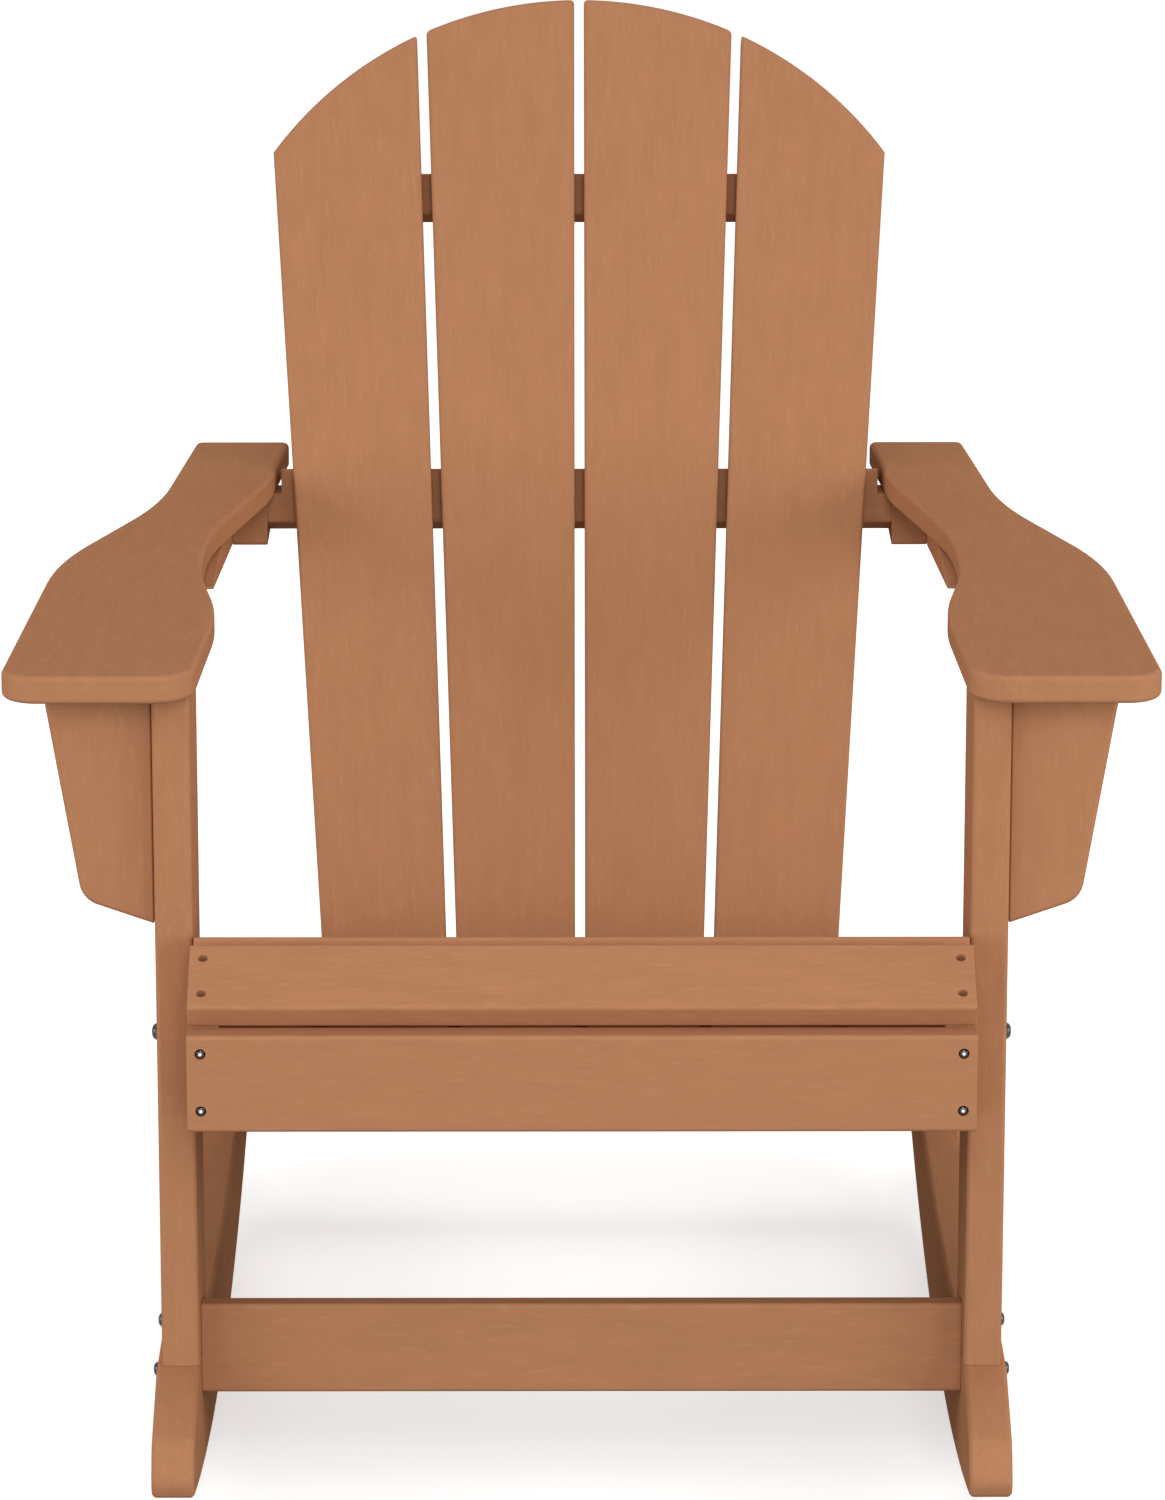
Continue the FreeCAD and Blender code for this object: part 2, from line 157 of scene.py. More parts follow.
# Place and size of each lamp, and the setting that gives its power
LAMPS = (
    ("front_softbox", (0.25, -4.9, 2.5), (1.4, 1.9), "key_power"),
    ("left_softbox", (-3.4, -1.4, 1.2), (2.2, 1.8), "left_power"),
    ("right_softbox", (3.4, -1.4, 1.2), (2.2, 1.8), "right_power"),
    ("low_left_softbox", (-2.6, -3.8, 0.9), (1.4, 1.2), "low_power"),
    ("low_right_softbox", (2.6, -3.8, 0.9), (1.4, 1.2), "low_power"),
    ("rear_softbox", (0.3, 2.6, 3.2), (2.0, 1.6), "rear_power"),
    ("glint_lamp", (0.5, -4.8, 2.3), (0.22, 0.10), "glint_power"),
)

# Point that all lamps face
LAMP_AIM = Vector((0, 0, 0.5))


class ChairLumber(bpy.types.PropertyGroup):
    """Colour and surface of the boards."""

    colour: FloatVectorProperty(
        name="Board Colour",
        description="Colour of the through-dyed boards",
        subtype="COLOR",
        size=3,
        min=0,
        max=1,
        default=(0.430, 0.197, 0.098),
    )
    rounding: FloatProperty(
        name="Edge Rounding",
        description="Extra rounding laid over the broken edges of the sawn boards",
        unit="LENGTH",
        default=0.0014,
        min=0.0001,
        max=0.0015,
    )
    easing: FloatProperty(
        name="End Easing",
        description="Width of the soft edge on the ends of the boards and round their holes",
        unit="LENGTH",
        default=0.0007,
        min=0.0001,
        max=0.002,
    )
    bracket_gap: FloatProperty(
        name="Bracket Gap",
        description="Thin dark gap between each bracket and its leg",
        unit="LENGTH",
        default=0.0009,
        min=0,
        max=0.003,
    )
    grain_depth: FloatProperty(
        name="Grain Depth",
        description="Depth of the pressed grain",
        unit="LENGTH",
        default=0.00008,
        min=0,
        max=0.001,
        precision=6,
    )


class ChairSeat(bpy.types.PropertyGroup):
    """Sizes of the seat's slats."""

    slat_count: IntProperty(
        name="Slats", description="Slats behind the front one", default=6, min=1, max=12
    )
    slat_width: FloatProperty(
        name="Slat Width", description="Width of a seat slat", unit="LENGTH", default=0.066
    )
    slat_gap: FloatProperty(
        name="Slat Gap", description="Gap between two seat slats", unit="LENGTH", default=0.008
    )
    slat_length: FloatProperty(
        name="Slat Length",
        description="Length of a seat slat between the legs",
        unit="LENGTH",
        default=0.518,
    )
    front_width: FloatProperty(
        name="Front Slat Width",
        description="Width of the sloping front slat",
        unit="LENGTH",
        default=0.0593,
    )
    front_length: FloatProperty(
        name="Front Slat Length",
        description="Length of the sloping front slat",
        unit="LENGTH",
        default=0.521,
    )
    thickness: FloatProperty(
        name="Slat Thickness", description="Thickness of a seat slat", unit="LENGTH", default=0.019
    )
    rounding: FloatProperty(
        name="Slat Rounding",
        description="Radius on the slats' long edges",
        unit="LENGTH",
        default=0.003,
    )
    row_depth: FloatProperty(
        name="Row Depth",
        description="Front upper edge of the row, behind the legs' front face",
        unit="LENGTH",
        default=-0.009,
    )
    row_height: FloatProperty(
        name="Row Height",
        description="Height of the row's front upper edge",
        unit="LENGTH",
        default=0.4165,
    )
    front_depth: FloatProperty(
        name="Front Slat Depth",
        description="Rear upper edge of the front slat, behind the legs' front face",
        unit="LENGTH",
        default=-0.025,
    )
    front_height: FloatProperty(
        name="Front Slat Height",
        description="Height of the front slat's rear upper edge",
        unit="LENGTH",
        default=0.417,
    )
    slope: FloatProperty(
        name="Seat Slope",
        description="Fall of the seat to the rear",
        subtype="ANGLE",
        default=math.radians(17.5),
    )
    front_slope: FloatProperty(
        name="Front Slope",
        description="Fall of the front slat to the front",
        subtype="ANGLE",
        default=math.radians(28.8),
    )
    hole_diameter: FloatProperty(
        name="Screw Hole",
        description="Diameter of the counterbores in the slats",
        unit="LENGTH",
        default=0.0065,
    )
    hole_depth: FloatProperty(
        name="Screw Hole Depth",
        description="Depth of the counterbores in the slats",
        unit="LENGTH",
        default=0.009,
    )
    screw_across: FloatProperty(
        name="Screw Place",
        description="Distance of the screws from the middle of the seat",
        unit="LENGTH",
        default=0.2515,
    )
    screw_margin: FloatProperty(
        name="Screw Margin",
        description="Distance of the screws from the slats' long edges",
        unit="LENGTH",
        default=0.0134,
    )


class ChairBack(bpy.types.PropertyGroup):
    """Sizes of the fanned back."""

    root_depth: FloatProperty(
        name="Root Depth",
        description="Place where the back passes the seat, behind the legs' front face",
        unit="LENGTH",
        default=0.404522,
    )
    root_height: FloatProperty(
        name="Root Height",
        description="Height where the back passes the seat",
        unit="LENGTH",
        default=0.265607,
    )
    recline: FloatProperty(
        name="Recline", description="Lean of the back", subtype="ANGLE", default=math.radians(26.0)
    )
    thickness: FloatProperty(
        name="Back Slat Thickness",
        description="Thickness of the back slats",
        unit="LENGTH",
        default=0.019,
    )
    gap: FloatProperty(
        name="Back Slat Gap", description="Gap between back slats", unit="LENGTH", default=0.0073
    )
    seam: FloatProperty(
        name="Seam Place",
        description="Place of the outer seam at the seat",
        unit="LENGTH",
        default=0.0936,
    )
    seam_flare: FloatProperty(
        name="Seam Flare",
        description="Sideways run of the outer seam for each metre up the back",
        default=0.03466,
    )
    edge: FloatProperty(
        name="Edge Place",
        description="Place of the outer edge at the seat",
        unit="LENGTH",
        default=0.1877,
    )
    edge_flare: FloatProperty(
        name="Edge Flare",
        description="Sideways run of the outer edge for each metre up the back",
        default=0.0664,
    )
    foot: FloatProperty(
        name="Slat Foot",
        description="Lower end of the slats below the seat",
        unit="LENGTH",
        default=-0.0613,
    )
    arch_centre: FloatProperty(
        name="Arch Centre",
        description="Height of the arch's centre up the back",
        unit="LENGTH",
        default=0.4591,
    )
    arch_radius: FloatProperty(
        name="Arch Radius", description="Radius of the arched top", unit="LENGTH", default=0.280
    )
    rounding: FloatProperty(
        name="Back Slat Rounding",
        description="Rounding of the back slats' edges",
        unit="LENGTH",
        default=0.0029,
    )


class ChairScrews(bpy.types.PropertyGroup):
    """Shape of the visible screw and bolt heads, and their colour: a painted glint on the crowns
    and a painted dark reflection on the rims.
    """

    sides: IntProperty(
        name="Head Sides", description="Sides of each round head", default=28, min=8, max=64
    )
    # painted glint: the crowns' bright colour stands in for a lamp's highlight on the steel
    painted_glint_colour: FloatVectorProperty(
        name="Painted Glint Colour",
        description="Colour of the crowns, a painted glint",
        subtype="COLOR",
        size=3,
        min=0,
        max=1,
        default=(0.72, 0.72, 0.73),
    )
    # painted reflection: the rims' dark colour stands in for the dark reflection round each head
    painted_rim_reflection_colour: FloatVectorProperty(
        name="Rim Reflection Colour",
        description="Colour of the rims, a painted dark reflection",
        subtype="COLOR",
        size=3,
        min=0,
        max=1,
        default=(0.060, 0.058, 0.056),
    )


class ChairStudio(bpy.types.PropertyGroup):
    """Camera, lamps, floor and room."""

    camera_height: FloatProperty(
        name="Camera Height",
        description="Height of the lens above the floor",
        unit="LENGTH",
        default=1.730,
    )
    camera_distance: FloatProperty(
        name="Camera Distance",
        description="Distance of the lens in front of the legs",
        unit="LENGTH",
        default=4.353,
    )
    camera_side: FloatProperty(
        name="Camera Side Step",
        description="Sideways place of the lens",
        unit="LENGTH",
        default=-0.012,
    )
    camera_pitch: FloatProperty(
        name="Camera Pitch",
        description="Angle that the camera looks down",
        subtype="ANGLE",
        default=math.radians(15.25),
    )
    camera_turn: FloatProperty(
        name="Camera Turn",
        description="Turn of the camera to its right",
        subtype="ANGLE",
        default=math.radians(0.165),
    )
    camera_lens: FloatProperty(
        name="Camera Lens",
        description="Focal length in millimetres on a 36 mm sensor",
        default=163.2,
    )
    key_power: FloatProperty(
        name="Key Power", description="Power of the front softbox", unit="POWER", default=78.0
    )
    left_power: FloatProperty(
        name="Left Power", description="Power of the left softbox", unit="POWER", default=40.0
    )
    right_power: FloatProperty(
        name="Right Power", description="Power of the right softbox", unit="POWER", default=52.0
    )
    low_power: FloatProperty(
        name="Low Power", description="Power of each low softbox", unit="POWER", default=20.0
    )
    rear_power: FloatProperty(
        name="Rear Power", description="Power of the rear softbox", unit="POWER", default=22.0
    )
    glint_power: FloatProperty(
        name="Glint Power",
        description="Power of the small lamp that glints on the bolts",
        unit="POWER",
        default=3.0,
    )
    room_light: FloatProperty(
        name="Room Light", description="Strength of the even room light", default=0.53
    )
    floor_bounce: FloatProperty(
        name="Floor Bounce", description="Share of the light that the floor returns", default=0.32
    )
    floor_tone: FloatProperty(
        name="Floor Tone", description="Tone of the floor where it is seen", default=0.85
    )
    floor_lift: FloatProperty(
        name="Floor Lift", description="Brightness added to the seen floor", default=0.55
    )


def add(tree, kind, **settings):
    node = tree.nodes.new(kind)
    for name, value in settings.items():
        setattr(node, name, value)
    return node


def wire(tree, *pairs):
    for start, end in pairs:
        tree.links.new(start, end)


def bare_nodes(owner, output):
    """Empty node tree of a material or world, and the surface socket of its output node."""
    owner.use_nodes = True
    tree = owner.node_tree
    tree.nodes.clear()
    return tree, add(tree, output).inputs["Surface"]


def feed(tree, sockets, values):
    """Gives each socket its value, which is a number or another node's output."""
    for socket, value in zip(sockets, values):
        if isinstance(value, (int, float)):
            socket.default_value = value
        else:
            tree.links.new(value, socket)


def maths(tree, operation, *operands):
    """Output of a maths node; each operand is a socket or a number."""
    node = add(tree, "ShaderNodeMath", operation=operation)
    feed(tree, node.inputs, operands)
    return node.outputs["Value"]


def vector(tree, x=0, y=0, z=0):
    """Output of a combined vector; each part is a socket or a number."""
    node = add(tree, "ShaderNodeCombineXYZ")
    feed(tree, node.inputs, (x, y, z))
    return node.outputs["Vector"]


def ranged(tree, value, span=(0, 1), result=(0, 1)):
    """Output that runs through the result while the value runs through the span."""
    node = add(tree, "ShaderNodeMapRange")
    node.inputs["From Min"].default_value, node.inputs["From Max"].default_value = span
    node.inputs["To Min"].default_value, node.inputs["To Max"].default_value = result
    tree.links.new(value, node.inputs["Value"])
    return node.outputs["Result"]


def stretched_noise(tree, place, cells, detail, roughness):
    """Noise drawn out along the board."""
    stretch = add(tree, "ShaderNodeMapping")
    stretch.inputs["Scale"].default_value = cells
    noise = add(tree, "ShaderNodeTexNoise")
    noise.inputs["Scale"].default_value = 1.0
    noise.inputs["Detail"].default_value = detail
    noise.inputs["Roughness"].default_value = roughness
    wire(
        tree,
        (place, stretch.inputs["Vector"]),
        (stretch.outputs["Vector"], noise.inputs["Vector"]),
    )
    return noise.outputs["Fac"]


def board_lumber(settings):
    """Through-dyed board lumber: pressed streaks along the board, pale flecks and a matte skin
    without specular gloss.
    """
    material = bpy.data.materials.new(LUMBER_NAME)
    tree, surface = bare_nodes(material, "ShaderNodeOutputMaterial")
    shader = add(tree, "ShaderNodeBsdfPrincipled")
    shader.inputs["Specular IOR Level"].default_value = 0.0
    grain = add(tree, "ShaderNodeAttribute", attribute_name="grain").outputs["Vector"]
    tone = add(tree, "ShaderNodeAttribute", attribute_name="tone").outputs["Fac"]

    fibres = stretched_noise(tree, grain, FIBRE_CELLS, detail=3.0, roughness=0.55)
    blotches = stretched_noise(tree, grain, BLOTCH_CELLS, detail=3.0, roughness=0.6)
    flecks = stretched_noise(tree, grain, FLECK_CELLS, detail=1.0, roughness=0.5)
    blotch_part = maths(tree, "MULTIPLY", blotches, 1 - FIBRE_SHARE)
    body = maths(tree, "MULTIPLY_ADD", fibres, FIBRE_SHARE, blotch_part)

    base = Vector(settings.colour)
    colours = add(tree, "ShaderNodeValToRGB")
    stops = colours.color_ramp.elements
    for stop, position, brightness in zip(stops, STREAK_STOPS, STREAK_TONES):
        stop.position = position
        stop.color = (*(base * brightness), 1)
    fleck_mix = add(tree, "ShaderNodeMix", data_type="RGBA")
    fleck_mix.inputs[MIX_SECOND].default_value = (*(base * Vector(FLECK_TINT)), 1)
    fleck_share = ranged(tree, flecks, span=FLECK_SPAN, result=(0, FLECK_SHARE))
    toned = add(tree, "ShaderNodeHueSaturation")
    bump = add(tree, "ShaderNodeBump")
    bump.inputs["Strength"].default_value = GRAIN_STRENGTH
    bump.inputs["Distance"].default_value = settings.grain_depth
    wire(
        tree,
        (body, colours.inputs["Fac"]),
        (fleck_share, fleck_mix.inputs[MIX_SHARE]),
        (colours.outputs["Color"], fleck_mix.inputs[MIX_FIRST]),
        (fleck_mix.outputs[MIX_RESULT], toned.inputs["Color"]),
        (tone, toned.inputs["Value"]),
        (toned.outputs["Color"], shader.inputs["Base Color"]),
        (ranged(tree, fibres, result=LUMBER_ROUGHNESS), shader.inputs["Roughness"]),
        (body, bump.inputs["Height"]),
        (bump.outputs["Normal"], shader.inputs["Normal"]),
        (shader.outputs["BSDF"], surface),
    )
    return material


def polished_steel(settings):
    """Stainless steel with a painted dark reflection on the rims, a painted glint on the crowns,
    and fine turning marks.
    """
    material = bpy.data.materials.new(STEEL_NAME)
    material.use_nodes = True
    tree = material.node_tree
    shader = tree.nodes["Principled BSDF"]
    shader.inputs["Metallic"].default_value = 1.0
    place = add(tree, "ShaderNodeTexCoord")
    crown = add(tree, "ShaderNodeAttribute", attribute_name="crown").outputs["Fac"]
    marks = add(tree, "ShaderNodeTexNoise")
    marks.inputs["Scale"].default_value = TURNING_CELLS
    marks.inputs["Detail"].default_value = 3.0
    mark = marks.outputs["Fac"]
    # the mix paints each rim dark as a painted reflection and each crown bright as a painted glint,
    # by the share of the head's height
    mix = add(tree, "ShaderNodeMix", data_type="RGBA")
    mix.inputs[MIX_FIRST].default_value = (*settings.painted_rim_reflection_colour, 1)
    mix.inputs[MIX_SECOND].default_value = (*settings.painted_glint_colour, 1)
    worn = add(tree, "ShaderNodeHueSaturation")
    wire(
        tree,
        (place.outputs["Object"], marks.inputs["Vector"]),
        (ranged(tree, mark, result=STEEL_ROUGHNESS), shader.inputs["Roughness"]),
        (ranged(tree, crown, span=PAINTED_GLINT_SPAN), mix.inputs[MIX_SHARE]),
        (mix.outputs[MIX_RESULT], worn.inputs["Color"]),
        (ranged(tree, mark, result=TURNING_TONES), worn.inputs["Value"]),
        (worn.outputs["Color"], shader.inputs["Base Color"]),
    )
    return material


def material_named(name, maker, settings):
    """Material of that name, made on its first use."""
    return bpy.data.materials.get(name) or maker(settings)


def new_object(name, data, context):
    """Object with the given data, in the scene."""
    thing = bpy.data.objects.new(name, data)
    context.scene.collection.objects.link(thing)
    return thing


def mark_grain(mesh, along, seed):
    """Gives each point of a board its place in the board's own frame, and the board its tone."""
    chance = random.Random(seed)
    along = along.normalized()
    # the helper is an axis that the board doesn't lie along
    helper = UPRIGHT if abs(along.z) < 0.8 else ACROSS
    side = along.cross(helper).normalized()
    up = side.cross(along)
    shift = Vector([chance.uniform(0, GRAIN_SHIFT) for _ in range(3)])
    values = []
    for vertex in mesh.vertices:
        place = Vector((vertex.co.dot(along), vertex.co.dot(side), vertex.co.dot(up)))
        values.extend(place + shift)
    grain = mesh.attributes.new("grain", "FLOAT_VECTOR", "POINT")
    grain.data.foreach_set("vector", values)
    tone = mesh.attributes.new("tone", "FLOAT", "POINT")
    tone.data.foreach_set("value", [chance.uniform(*BOARD_TONES)] * len(mesh.vertices))


def make_flats_whole(shape):
    """Joins the faces of a mesh under construction that lie in one flat."""
    bmesh.ops.dissolve_limit(
        shape,
        angle_limit=FLAT_TURN,
        use_dissolve_boundaries=False,
        verts=shape.verts,
        edges=shape.edges,
    )


def soften(shape, width, steps, least):
    """Rounds the edges that turn by more than the least angle."""
    sharp = [e for e in shape.edges if len(e.link_faces) == 2 and e.calc_face_angle(0) > least]
    bmesh.ops.bevel(
        shape,
        geom=sharp,
        offset=width,
        offset_type="OFFSET",
        segments=steps,
        profile=0.5,
        affect="EDGES",
        clamp_overlap=True,
    )
    for face in shape.faces:
        face.smooth = True


def board_from(shape, node, along, context):
    """Makes a finished board object from a mesh under construction, in the place of a node."""
    mesh = bpy.data.meshes.new(node + "_board")
    shape.to_mesh(mesh)
    shape.free()
    mark_grain(mesh, along, node)
    mesh.materials.append(material_named(LUMBER_NAME, board_lumber, context.scene.chair_lumber))
    board = new_object(node + "_board", mesh, context)
    flats = board.modifiers.new("Flat Faces", "WEIGHTED_NORMAL")
    flats.mode = "FACE_AREA"
    flats.weight = 100
    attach(board, "root")
    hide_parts(node)


def merged_copy(node):
    """The node's own faces, merged and with its flats made whole."""
    shape = bmesh.new()
    shape.from_mesh(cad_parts[node].data)
    bmesh.ops.remove_doubles(shape, verts=shape.verts, dist=NODE_WELD)
    make_flats_whole(shape)
    return shape


def sawn_boards(nodes, along, width, context):
    """Boards with their nodes' own faces and softer edges."""
    for node in nodes:
        shape = merged_copy(node)
        soften(shape, width, SAWN_STEPS, SAWN_TURN)
        board_from(shape, node, along, context)


def slat_board(shape, node, along, rounding, steps, placing, context):
    """Board from a slat made by rule, which is softened and then placed."""
    make_flats_whole(shape)
    bmesh.ops.recalc_face_normals(shape, faces=shape.faces)
    soften(shape, rounding, steps, SLAT_TURN)
    shape.transform(placing)
    board_from(shape, node, along, context)


def both_sides(*stems):
    """Names of the left and the right node of each stem."""
    return [stem + side for stem in stems for side in ("_left", "_right")]


def evaluated_mesh(tree, values, carrier_mesh, context):
    """Plain mesh that a Geometry Nodes tree makes with the given named inputs."""
    carrier = new_object(tree.name, carrier_mesh, context)
    modifier = carrier.modifiers.new(tree.name, "NODES")
    modifier.node_group = tree
    for item in tree.interface.items_tree:
        if item.in_out == "INPUT" and item.name in values:
            modifier[item.identifier] = values[item.name]
    graph = context.evaluated_depsgraph_get()
    mesh = bpy.data.meshes.new_from_object(carrier.evaluated_get(graph), depsgraph=graph)
    bpy.data.objects.remove(carrier)
    bpy.data.meshes.remove(carrier_mesh)
    if not mesh.polygons:
        raise RuntimeError("%s made no faces" % tree.name)
    return mesh


def evaluated_shape(tree, values, context):
    """Mesh under construction that a Geometry Nodes tree makes from its named inputs alone."""
    mesh = evaluated_mesh(tree, values, bpy.data.meshes.new(tree.name), context)
    shape = bmesh.new()
    shape.from_mesh(mesh)
    bpy.data.meshes.remove(mesh)
    return shape


def new_tree(name, lengths, counts=()):
    """Geometry tree with named length and count inputs, the inputs, and its output's socket."""
    tree = bpy.data.node_groups.new(name, "GeometryNodeTree")
    tree.interface.new_socket("Geometry", in_out="INPUT", socket_type="NodeSocketGeometry")
    for length in lengths:
        tree.interface.new_socket(length, in_out="INPUT", socket_type="NodeSocketFloat")
    for count in counts:
        tree.interface.new_socket(count, in_out="INPUT", socket_type="NodeSocketInt")
    tree.interface.new_socket("Geometry", in_out="OUTPUT", socket_type="NodeSocketGeometry")
    sizes = add(tree, "NodeGroupInput").outputs
    return tree, sizes, add(tree, "NodeGroupOutput").inputs["Geometry"]


def finish_tree(tree, geometry, material, output):
    """Makes a tree's instances real and sets their material."""
    real = add(tree, "GeometryNodeRealizeInstances")
    paint = add(tree, "GeometryNodeSetMaterial")
    paint.inputs["Material"].default_value = material
    wire(
        tree,
        (geometry, real.inputs["Geometry"]),
        (real.outputs["Geometry"], paint.inputs["Geometry"]),
        (paint.outputs["Geometry"], output),
    )


def welded(tree, distance, *parts):
    """Parts joined, with the points merged that lie within the distance."""
    whole = add(tree, "GeometryNodeJoinGeometry")
    weld = add(tree, "GeometryNodeMergeByDistance")
    weld.inputs["Distance"].default_value = distance
    for part in parts:
        tree.links.new(part, whole.inputs["Geometry"])
    tree.links.new(whole.outputs["Geometry"], weld.inputs["Geometry"])
    return weld.outputs["Geometry"]


def seat_slat_tree(material):
    """A row of seat slats: rounded long edges, four counterbores each, one pitch apart."""
    lengths = ("Length", "Width", "Thickness", "Rounding", "Pitch")
    lengths += ("Hole Radius", "Hole Depth", "Screw Across", "Screw Margin")
    tree, sizes, output = new_tree("Seat Slat Row", lengths, ("Count",))
    section = add(tree, "GeometryNodeCurvePrimitiveQuadrilateral")
    corners = add(tree, "GeometryNodeFilletCurve", mode="POLY")
    corners.inputs["Count"].default_value = EDGE_POINTS
    flat = add(tree, "GeometryNodeFillCurve", mode="NGONS")
    under = add(tree, "GeometryNodeFlipFaces")
    push = add(tree, "GeometryNodeExtrudeMesh", mode="FACES")
    closed = welded(tree, SLAT_WELD, under.outputs["Mesh"], push.outputs["Mesh"])
    lay = add(tree, "GeometryNodeTransform")
    lay.inputs["Rotation"].default_value = (math.pi / 2, 0, math.pi / 2)
    # a slat's origin is the middle of its front upper edge
    to_origin = vector(
        tree,
        maths(tree, "MULTIPLY", sizes["Length"], -0.5),
        maths(tree, "MULTIPLY", sizes["Width"], 0.5),
        maths(tree, "MULTIPLY", sizes["Thickness"], -0.5),
    )
    wire(
        tree,
        (sizes["Width"], section.inputs["Width"]),
        (sizes["Thickness"], section.inputs["Height"]),
        (section.outputs["Curve"], corners.inputs["Curve"]),
        (sizes["Rounding"], corners.inputs["Radius"]),
        (corners.outputs["Curve"], flat.inputs["Curve"]),
        (flat.outputs["Mesh"], under.inputs["Mesh"]),
        (flat.outputs["Mesh"], push.inputs["Mesh"]),
        (vector(tree, z=sizes["Length"]), push.inputs["Offset"]),
        (closed, lay.inputs["Geometry"]),
        (to_origin, lay.inputs["Translation"]),
    )
    drill = add(tree, "GeometryNodeMeshCylinder")
    drill.inputs["Vertices"].default_value = HOLE_SIDES
    spots = add(tree, "GeometryNodeMeshGrid")
    spots.inputs["Vertices X"].default_value = 2
    spots.inputs["Vertices Y"].default_value = 2
    spot_depth = maths(tree, "MULTIPLY_ADD", sizes["Screw Margin"], -2.0, sizes["Width"])
    centre = add(tree, "GeometryNodeTransform")
    drills = add(tree, "GeometryNodeInstanceOnPoints")
    real = add(tree, "GeometryNodeRealizeInstances")
    cut = add(tree, "GeometryNodeMeshBoolean", operation="DIFFERENCE", solver="EXACT")
    row = add(tree, "GeometryNodeMeshLine")
    slats = add(tree, "GeometryNodeInstanceOnPoints")
    wire(
        tree,
        (sizes["Hole Radius"], drill.inputs["Radius"]),
        (maths(tree, "MULTIPLY", sizes["Hole Depth"], 2.0), drill.inputs["Depth"]),
        (maths(tree, "MULTIPLY", sizes["Screw Across"], 2.0), spots.inputs["Size X"]),
        (spot_depth, spots.inputs["Size Y"]),
        (spots.outputs["Mesh"], centre.inputs["Geometry"]),
        (
            vector(tree, y=maths(tree, "MULTIPLY", sizes["Width"], 0.5)),
            centre.inputs["Translation"],
        ),
        (centre.outputs["Geometry"], drills.inputs["Points"]),
        (drill.outputs["Mesh"], drills.inputs["Instance"]),
        (drills.outputs["Instances"], real.inputs["Geometry"]),
        (lay.outputs["Geometry"], cut.inputs["Mesh 1"]),
        (real.outputs["Geometry"], cut.inputs["Mesh 2"]),
        (sizes["Count"], row.inputs["Count"]),
        (vector(tree, y=sizes["Pitch"]), row.inputs["Offset"]),
        (row.outputs["Mesh"], slats.inputs["Points"]),
        (cut.outputs["Mesh"], slats.inputs["Instance"]),
    )
    finish_tree(tree, slats.outputs["Instances"], material, output)
    return tree


def back_slat_tree(material):
    """A board between two flared edge lines, cut off above by the arch of the back."""
    lengths = ("Right Edge", "Right Flare", "Left Edge", "Left Flare")
    lengths += ("Foot", "Arch Centre", "Arch Radius", "Thickness")
    tree, sizes, output = new_tree("Fanned Back Slat", lengths)
    sheet = add(tree, "GeometryNodeMeshGrid")
    sheet.inputs["Size X"].default_value = 1
    sheet.inputs["Size Y"].default_value = 1
    sheet.inputs["Vertices X"].default_value = ARCH_POINTS
    sheet.inputs["Vertices Y"].default_value = 2
    spot = add(tree, "ShaderNodeSeparateXYZ")
    position = add(tree, "GeometryNodeInputPosition")
    shape = add(tree, "GeometryNodeSetPosition")
    wire(tree, (position.outputs["Position"], spot.inputs["Vector"]))
    # the sheet's points run from 0 to 1 across the slat and up it
    across = maths(tree, "ADD", spot.outputs["X"], 0.5)
    upward = maths(tree, "ADD", spot.outputs["Y"], 0.5)

    def between(low, high, share):
        return maths(tree, "MULTIPLY_ADD", maths(tree, "SUBTRACT", high, low), share, low)

    def product(first, second):
        return maths(tree, "MULTIPLY", first, second)

    # each point's line meets the arch at the greater root of square h^2 + 2 linear h + constant
    offset = between(sizes["Right Edge"], sizes["Left Edge"], across)
    flare = between(sizes["Right Flare"], sizes["Left Flare"], across)
    square = maths(tree, "MULTIPLY_ADD", flare, flare, 1.0)
    linear = maths(tree, "SUBTRACT", product(flare, offset), sizes["Arch Centre"])
    radius_squared = product(sizes["Arch Radius"], sizes["Arch Radius"])
    centre_squared = product(sizes["Arch Centre"], sizes["Arch Centre"])
    arch_share = maths(tree, "SUBTRACT", centre_squared, radius_squared)
    constant = maths(tree, "MULTIPLY_ADD", offset, offset, arch_share)
    reach = maths(tree, "SUBTRACT", product(linear, linear), product(square, constant))
    top = maths(
        tree, "DIVIDE", maths(tree, "SUBTRACT", maths(tree, "SQRT", reach), linear), square
    )
    height = between(sizes["Foot"], top, upward)
    side = maths(tree, "MULTIPLY_ADD", flare, height, offset)

    push = add(tree, "GeometryNodeExtrudeMesh", mode="FACES")
    push.inputs["Individual"].default_value = False
    rear = add(tree, "GeometryNodeFlipFaces")
    closed = welded(tree, SLAT_WELD, shape.outputs["Geometry"], rear.outputs["Mesh"])
    wire(
        tree,
        (sheet.outputs["Mesh"], shape.inputs["Geometry"]),
        (vector(tree, side, 0, height), shape.inputs["Position"]),
        (shape.outputs["Geometry"], push.inputs["Mesh"]),
        (vector(tree, y=sizes["Thickness"]), push.inputs["Offset"]),
        (push.outputs["Mesh"], rear.inputs["Mesh"]),
    )
    finish_tree(tree, closed, material, output)
    return tree


